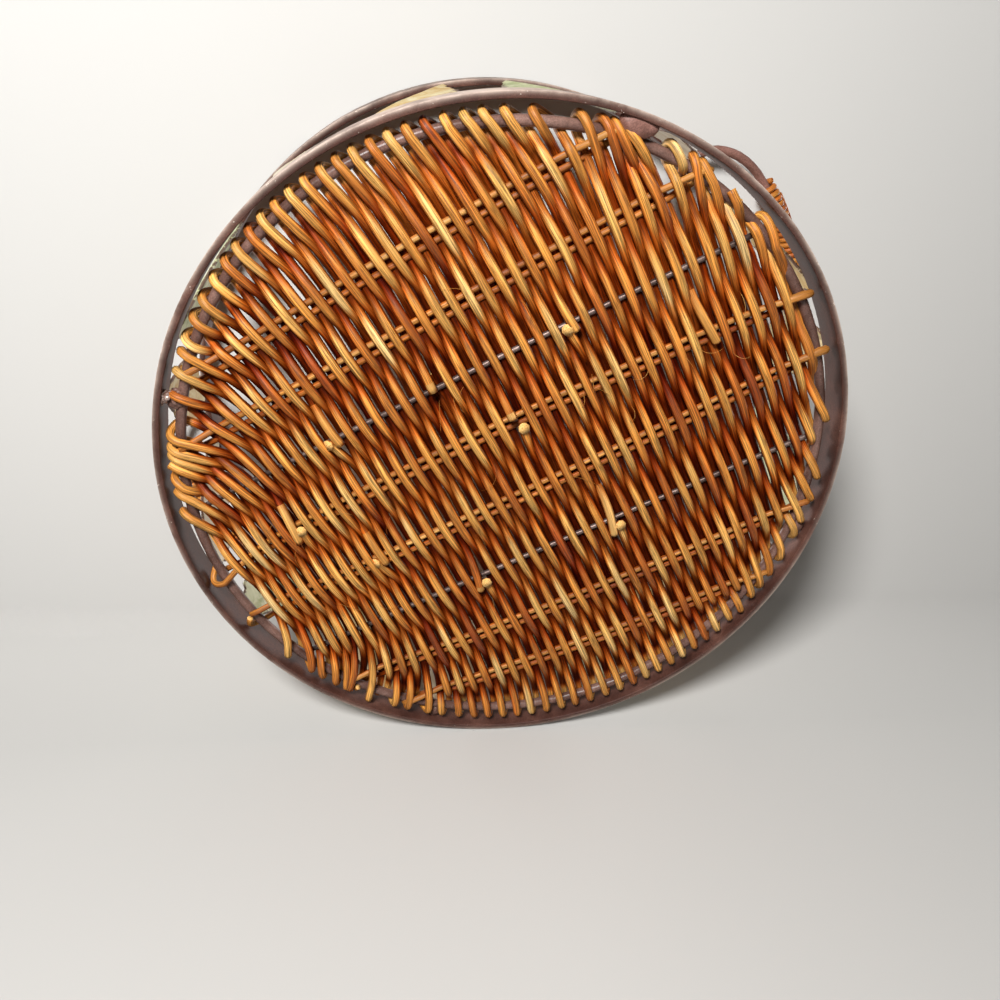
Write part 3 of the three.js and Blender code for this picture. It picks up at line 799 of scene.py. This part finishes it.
def stakeRun(line, ends):
    ring = sizes["ring"]
    radius = line["half"]
    reach = sizes["rod"] / 2 + weave["ringGap"] + radius
    limit = line["reach"] + reeds["past"]
    points = []
    for run, side in ((-1, 1), (1, -1)):  # the first run goes to +X, the second comes back
        offset = run * reeds["spacing"] / 2
        bend = ends["bend"] if run == ends["hooked"] else 0
        corners = [
            sqrt(ring ** 2 - (lineAt(line, x) + offset + extra) ** 2)
            for x, extra in ((-line["reach"], bend), (line["reach"], 0))
        ]
        low, high = -corners[0], corners[1]
        xs = [low + (high - low) * share for share in shares(reeds["steps"])]
        for x in xs if side > 0 else xs[::-1]:
            fromRing = min(x - low, high - x)
            blended = min(1, fromRing / reeds["blend"])
            lift = reach * (0.5 + 0.5 * cos(pi * blended))
            wander = reeds["wander"] * ripple(x * 0.03, offset, line["across"][1])
            y = lineAt(line, max(-limit, min(limit, x))) + offset
            y += bend * max(0, 1 - (x - low) / reeds["bendLength"]) ** 2 + wander
            fuller = max(0, 1 - (high - x) / reeds["thickLength"]) if side > 0 else 0
            thick = radius + (ends["turn"] - radius) * fuller
            points.append(placed(x, y, lift * side + reeds["deep"][side] * blended, thick))
        if side > 0:
            outward = points[-1]
            for share in shares(reeds["turnSteps"])[1:-1]:
                roll = pi * share
                y = outward[1] + reeds["spacing"] * share
                x = sqrt(ring ** 2 - y ** 2) + (reach + reeds["bulge"]) * sin(roll)
                thick = ends["turn"] + (radius - ends["turn"]) * share
                points.append(placed(x, y, reach * cos(roll), thick))
    if ends["hooked"] == 1:
        points.reverse()
    first = points[0]
    level = 1 if ends["hooked"] == -1 else -1
    tail = []
    for share in shares(reeds["hookSteps"])[1:]:
        roll = reeds["hookTurn"] * share
        x = first[0] - ends["reach"] * sin(roll)
        tail.append(placed(x, first[1] + ends["sweep"] * share ** 2, reach * level * cos(roll), radius))
    return tail[::-1] + points


# how far a wire's ends sink into the ring, and how much it waves up and down
wires = {"sunk": 0.6, "wave": 0.25, "halfSteps": 20}


def wireRun(line, number):
    inner = sizes["ring"] - sizes["rod"] / 2 + wires["sunk"]
    half = sqrt(inner ** 2 - lineAt(line, 0) ** 2)
    points = []
    for step in range(2 * wires["halfSteps"] + 1):
        x = half * (step / wires["halfSteps"] - 1)
        wave = wires["wave"] * ripple(x * 0.05, number, 0)
        points.append(placed(x, lineAt(line, x), wave, line["half"]))
    return points


for line in sorted(matLines, key=lambda line: line["node"].startswith("cross")):
    bm = bmesh.new()
    number = int(line["node"][-1])
    if line["node"].startswith("reed"):
        addCane(bm, stakeRun(line, stakeEnds[number]), start=number * grainShift["stake"])
        name, materials, slotName = f"reedStake{number}", [stakeRattan, cutRattan], "stake_rattan"
    else:
        addCane(bm, wireRun(line, number), sides=12)
        name, materials, slotName = f"crossWire{number}", [wireEnamel, wireEnamel], "frame_paint"
    closeSeams(bm)
    finishPiece(name, bm, materials, [line["node"]])


print("frame")


def spunPiece(profile, steps):
    bm = bmesh.new()
    corners = [bm.verts.new((radius * mm, 0, height * mm)) for radius, height in profile]
    edges = [bm.edges.new((corners[i], corners[(i + 1) % len(corners)])) for i in range(len(corners))]
    bmesh.ops.spin(
        bm, geom=corners + edges, cent=(0, 0, 0), axis=(0, 0, 1), angle=fullTurn, steps=steps, use_merge=True,
    )
    bmesh.ops.remove_doubles(bm, verts=bm.verts, dist=mm / 100)
    bmesh.ops.recalc_face_normals(bm, faces=bm.faces)
    return bm


# A flat bar's section with eased corners
def barProfile(bottom, easing=0.45):
    outer, inner = sizes["hoopOuter"], sizes["hoopOuter"] - sizes["bar"]
    top = bottom + sizes["hoopHeight"]
    profile = []
    for x, z, first in ((outer, bottom, -90), (outer, top, 0), (inner, top, 90), (inner, bottom, 180)):
        for step in range(4):
            angle = radians(first + step * 30)
            cornerX = x + (-easing if x == outer else easing)
            cornerZ = z + (easing if z == bottom else -easing)
            profile.append((cornerX + easing * cos(angle), cornerZ + easing * sin(angle)))
    return profile


hoop = {"wave": 0.25, "steps": 180}
for name, node, bottom in (
    ("lowerHoop", "lower_hoop", 0),
    ("upperHoop", "upper_hoop", sizes["wallHeight"] - sizes["hoopHeight"]),
):
    bm = spunPiece(barProfile(bottom), hoop["steps"])
    for vert in bm.verts:  # the bar was bent by hand and isn't quite even
        angle = atan2(vert.co.y, vert.co.x)
        swell = hoop["wave"] * mm * ripple(cos(angle) * 3, sin(angle) * 3, bottom)
        vert.co += Vector((cos(angle), sin(angle), 0)) * swell
    finishPiece(name, bm, [hoopEnamel], [node])

rod = {"round": 14, "steps": 160}
ringProfile = []
for share in shares(rod["round"])[:-1]:
    roll = share * fullTurn
    out, up = sizes["rod"] / 2 * cos(roll), sizes["rod"] / 2 * sin(roll)
    ringProfile.append((sizes["ring"] + out, sizes["level"] + up))
finishPiece("baseRing", spunPiece(ringProfile, rod["steps"]), [rodEnamel], ["base_ring"])

# Each weld bridges the ring and the lower hoop: where it is in degrees, its lumps by distance from the
# middle, height, size outwards, along the ring and in height, and how much wider it is at the hoop
welds = [
    {"turn": 41, "rough": 0.21, "flare": 0, "lumps": [(162.7, 6.85, 8.6, 7.6, 6.2)]},
    {"turn": 131, "rough": 0.21, "flare": 0, "lumps": [(162.7, 6.85, 8.6, 7.4, 6.2)]},
    {
        "turn": 221, "rough": 0.4, "flare": 0,
        "lumps": [(161.2, 6.0, 8.4, 9.4, 7.2), (166.4, 4.2, 6.4, 7.0, 6.2)],
    },
    {"turn": 313.2, "rough": 0.08, "flare": 0.6, "lumps": [(164.2, 3.9, 10.6, 17.0, 7.2)]},
]
for index, weld in enumerate(welds):
    bm = bmesh.new()
    for number, (out, height, deep, wide, thick) in enumerate(weld["lumps"]):
        lump = bmesh.ops.create_icosphere(bm, subdivisions=4, radius=0.5)["verts"]
        for vert in lump:
            swell = 1 + weld["rough"] * noise.noise(vert.co * 4 + Vector((index * 5, number * 3, 0)))
            spread = 1 + weld["flare"] * vert.co.x
            scaled = (vert.co.x * deep, vert.co.y * wide * spread, vert.co.z * thick)
            vert.co = (Vector(scaled) * swell + Vector((out, 0, height))) * mm
        for face in {face for vert in lump for face in vert.link_faces}:
            face.material_index = number
    bmesh.ops.transform(bm, matrix=Matrix.Rotation(radians(weld["turn"]), 4, "Z"), verts=bm.verts)
    paints = [handleEnamel if weld["flare"] else rodEnamel, scorchedSteel]
    finishPiece(f"ringWeld{index + 1}", bm, paints, [f"ring_weld_{index + 1}"])


print("leaves")
leaf = {
    "count": 16, "width": 42, "stem": 8, "tip": 5, "lean": 17, "notch": 2.2, "teeth": 6, "thick": 1.4,
    "across": 18, "along": 40, "overlap": 0.6, "vein": 0.9, "ribHalf": 1.5, "veins": 7, "veinSlant": 0.09,
    "veinSharp": 9, "sideVein": 0.6, "cup": 1.2, "broadFrom": 12,
}
leafBottom = sizes["hoopHeight"] - leaf["overlap"]
leafTop = sizes["wallHeight"] - sizes["hoopHeight"] + leaf["overlap"]


def leafHalfWidth(share, tooth):
    swell = sin(pi * min(1, share * 1.06)) ** 0.9
    stem = leaf["stem"] + (leaf["tip"] - leaf["stem"]) * share
    phase = share * leaf["teeth"] % 1
    return stem / 2 + (leaf["width"] - stem) / 2 * swell - tooth * leaf["notch"] * phase * min(1, swell * 2)


def leafPiece(index):
    middle = (index + 0.5) / leaf["count"] * fullTurn
    lean = leaf["lean"] if index % 2 == 0 else -leaf["lean"]
    wall = sizes["hoopOuter"] - sizes["bar"] / 2
    bm = bmesh.new()
    bmesh.ops.create_grid(bm, x_segments=leaf["across"], y_segments=leaf["along"], size=0.5)
    uv = bm.loops.layers.uv.new("leafUV")
    for face in bm.faces:
        for loop in face.loops:
            loop[uv].uv = (loop.vert.co.x + 0.5, loop.vert.co.y + 0.5)
    for vert in bm.verts:
        across, share = vert.co.x * 2, vert.co.y + 0.5
        half = leafHalfWidth(share, abs(across) ** 6)
        x = lean * (2 * share - 1) + across * half
        # a middle rib and pairs of side veins stand out, and the blade cups between them
        broad = min(1, half / leaf["broadFrom"])
        rib = exp(-(across * half / leaf["ribHalf"]) ** 2)
        branch = (share * leaf["veins"] + abs(across) * half * leaf["veinSlant"]) % 1
        vein = exp(-((branch - 0.5) * leaf["veinSharp"]) ** 2) * (1 - abs(across)) ** 0.4 * broad
        relief = leaf["vein"] * max(rib, leaf["sideVein"] * vein) - leaf["cup"] * abs(across) ** 2 * broad
        angle = middle + x / wall
        radius = wall + relief
        z = leafBottom + (leafTop - leafBottom) * share
        vert.co = Vector((radius * cos(angle), radius * sin(angle), z)) * mm
    faceTowards(bm, bm.faces, Vector((cos(middle), sin(middle), 0)))
    bmesh.ops.solidify(bm, geom=bm.faces[:], thickness=leaf["thick"] * mm)
    bmesh.ops.recalc_face_normals(bm, faces=bm.faces)
    paint = index % 3
    finishPiece(
        f"leafPlate{index + 1:02d}", bm, [leafPaints[paint]], [f"leaf_{index + 1:02d}"],
    )


for index in range(leaf["count"]):
    leafPiece(index)


print("handles")
handle = {
    "height": sizes["wallHeight"] - sizes["hoopHeight"] / 2, "out": 25.5, "foot": radians(23.5),
    "grip": radians(11.7), "sunk": 0.8, "bendSteps": 12, "halfSteps": 8, "radius": 2.5, "cane": 1.7,
    "pitch": 3.5, "loopSteps": 18, "gap": 0.05, "uneven": {"along": 0.0012, "thick": 0.09, "out": 0.3},
}
# the strand over the turns: its radius, how far out it lies and sways, where it dives under, and its height
strand = {"radius": 0.62, "out": 0.35, "sway": 0.2, "share": 0.86, "tuck": 3.4, "lift": 0.8, "halfSteps": 20}
gripRadius = sizes["hoopOuter"] + handle["out"]


def handlePlace(angle, radius, lift=0.0):
    return Vector((radius * cos(angle), radius * sin(angle), handle["height"] + lift))


def handleRod(turn):
    foot = sizes["hoopOuter"] - handle["sunk"]
    bend = []
    for share in shares(handle["bendSteps"]):
        swing = pi / 2 * (1 - share)
        angle = handle["grip"] + (handle["foot"] - handle["grip"]) * sin(swing)
        bend.append((angle, foot + (gripRadius - foot) * cos(swing)))
    points = [handlePlace(turn - angle, radius) for angle, radius in bend]
    half = handle["halfSteps"]
    for step in range(1, 2 * half):
        points.append(handlePlace(turn + handle["grip"] * (step / half - 1), gripRadius))
    points += [handlePlace(turn + angle, radius) for angle, radius in bend[::-1]]
    bm = bmesh.new()
    addCane(bm, [(*point, handle["radius"]) for point in points], sides=14)
    closeSeams(bm)
    return bm


def gripWinding(turn, seed):
    bm = bmesh.new()
    around = handle["radius"] + handle["cane"] + handle["gap"]
    loops = int(2 * handle["grip"] * gripRadius / handle["pitch"]) - 1
    span = loops * handle["pitch"] / gripRadius / 2
    uneven = handle["uneven"]
    points = []
    for share in shares(loops * handle["loopSteps"]):
        roll = share * loops * fullTurn
        angle = span * (2 * share - 1) + uneven["along"] * ripple(share * 9, seed, 0)
        radius = handle["cane"] * (1 + uneven["thick"] * ripple(share * 7, seed, 3))
        wide = around + uneven["out"] * ripple(share * 14, seed, 6)
        place = handlePlace(turn + angle, gripRadius + wide * cos(roll), wide * sin(roll))
        points.append((*place, radius))
    addCane(bm, points, start=seed)
    # a thin strand lies lengthwise over the turns on the outer side
    points = []
    for step in range(2 * strand["halfSteps"] + 1):
        share = step / strand["halfSteps"] - 1
        sway = strand["sway"] * ripple(step * 0.4, seed, 9)
        rise = around + handle["cane"] + strand["out"] + sway
        tuck = strand["tuck"] * max(0, abs(share) - strand["share"]) / (1 - strand["share"])
        place = handlePlace(turn + span * share * strand["share"], gripRadius + rise - tuck, strand["lift"])
        points.append((*place, strand["radius"]))
    addCane(bm, points, start=seed + 3)
    closeSeams(bm)
    return bm


for side, turn in (("Front", 0), ("Back", pi)):
    bent, wound = f"handle_rod_{side.lower()}", f"grip_winding_{side.lower()}"
    finishPiece(f"handleRod{side}", handleRod(turn), [handleEnamel, handleEnamel], [bent])
    cane = gripWinding(turn, 11 + turn)
    finishPiece(f"gripWinding{side}", cane, [gripRattan, gripRattan], [wound])


print("stage")
# the boards' colours and glow, half the floor's size, its gap under the basket, how far the lying floor
# is turned, and where it lies, where its wall stands, how near it comes and how wide it is, in metres
stage = {
    "pale": "#bdbbb7", "sweep": "#bfbdb9", "glow": 0.48, "reach": 3.0, "gap": 0.0002, "turn": 28.68,
    "lie": 0.1705, "wall": 0.1305, "near": -0.55, "wide": 0.7,
}


# Pale matt board that shows only to camera rays that meet its front after enough clear layers
def boardMaterial(name, layers, colour, glow=0.0):
    material, shader, add, setSockets = startMaterial(name)
    setSockets(shader, {"Base Color": linear(colour), "Roughness": 0.9})
    setSockets(shader, {"Emission Color": linear("#f4f1ec"), "Emission Strength": glow})
    path = add("LightPath")
    back = add("NewGeometry").outputs["Backfacing"]
    front = add("Math", [1.0, back], operation="SUBTRACT")
    seen = add("Math", [path.outputs["Is Camera Ray"], front], operation="MULTIPLY")
    passed = add("Math", [path.outputs["Transparent Depth"], layers - 0.5], operation="GREATER_THAN")
    shown = add("Math", [seen, passed], operation="MULTIPLY")
    clear = add("BsdfTransparent")
    mix = add("MixShader", [shown, clear, shader])
    setSockets(material.node_tree.nodes["Material Output"], {"Surface": mix})
    return material


def stagePiece(name, bm, material):
    piece = meshObject(name, bm, [material])


def floorPiece(name, depth, material):
    bm = bmesh.new()
    bmesh.ops.create_grid(bm, x_segments=1, y_segments=1, size=stage["reach"])
    bmesh.ops.translate(bm, verts=bm.verts, vec=(0, 0, -depth))
    stagePiece(name, bm, material)


# The floor that the basket stands on is seen from above and clear from below. The layer under it always
# stays clear, and is there to be counted.
floorPiece("standingFloor", stage["gap"], boardMaterial("paleFloorBoard", 0, stage["pale"], stage["glow"]))
floorPiece("floorUnderside", 2 * stage["gap"], boardMaterial("clearUnderlay", 99, stage["pale"]))

# Seen from below, the basket lies on its side on a floor, with its mouth against a wall
lyingTurn = radians(stage["turn"])
lyingUp = Vector((sin(lyingTurn), -cos(lyingTurn), 0))
lyingSide = Vector((0, 0, 1)).cross(lyingUp)
profile = [(-stage["lie"], -stage["gap"]), (-stage["lie"], stage["wall"]), (stage["wide"], stage["wall"])]


def sweepPiece(name, profile, layers):
    bm = bmesh.new()
    row = [bm.verts.new(lyingUp * up + Vector((0, 0, z)) - lyingSide * stage["wide"]) for up, z in profile]
    edges = [bm.edges.new(pair) for pair in zip(row, row[1:])]
    swept = bmesh.ops.extrude_edge_only(bm, edges=edges)
    newVerts = [part for part in swept["geom"] if isinstance(part, bmesh.types.BMVert)]
    bmesh.ops.translate(bm, verts=newVerts, vec=lyingSide * 2 * stage["wide"])
    lowest = min(bm.faces, key=lambda face: face.calc_center_median().z)
    faceTowards(bm, [lowest], lyingUp)
    stagePiece(name, bm, boardMaterial(name + "Board", layers, stage["sweep"]))


# the part in front of the standing floor is seen through no clear layer, the part behind it through two
sweepPiece("lyingSweepNear", [(-stage["lie"], stage["near"]), (-stage["lie"], -stage["gap"])], 0)
sweepPiece("lyingSweepFar", profile, 2)

world = bpy.data.worlds.new("paleStudio")
scene.world = world
world.use_nodes = True
sky = world.node_tree
sky.nodes.clear()
path = addNode(sky, "LightPath")
ambient = addNode(sky, "Background", {"Color": linear("#f1eeea"), "Strength": 0.1})
backdrop = addNode(sky, "Background", {"Color": linear("#ece9e4"), "Strength": 0.9})
# the pale surroundings are seen and mirrored, but give little light
shown = path.outputs["Is Camera Ray"]
for kind in ("Is Glossy Ray", "Is Transmission Ray"):
    shown = addNode(sky, "Math", [shown, path.outputs[kind]], operation="MAXIMUM")
mixed = addNode(sky, "MixShader", [shown, ambient, backdrop])
addNode(sky, "OutputWorld", {"Surface": mixed})

lamps = {
    "lyingKey": {"from": lyingUp * 0.66 + Vector((0, 0, -0.58)) - lyingSide * 0.3, "size": 0.24, "watts": 14},
    "lyingFill": {"from": Vector((0.1, 0.2, -0.95)), "size": 0.9, "watts": 1.2},
    "standingKey": {"from": Vector((-0.85, -0.3, 0.75)), "size": 0.5, "watts": 9},
    "standingFill": {"from": Vector((0.8, 0.45, 0.7)), "size": 0.9, "watts": 7},
}
for name, lamp in lamps.items():
    light = bpy.data.lights.new(name, "AREA")
    light.energy = lamp["watts"]
    light.shape = "DISK"
    light.size = lamp["size"]
    lampObject = linkedObject(name, light)
    lampObject.location = lamp["from"]
    lampObject.rotation_mode = "QUATERNION"
    lampObject.rotation_quaternion = (-lamp["from"]).to_track_quat("-Z", "Y")

scene.view_settings.view_transform = "Standard"

print("finished")
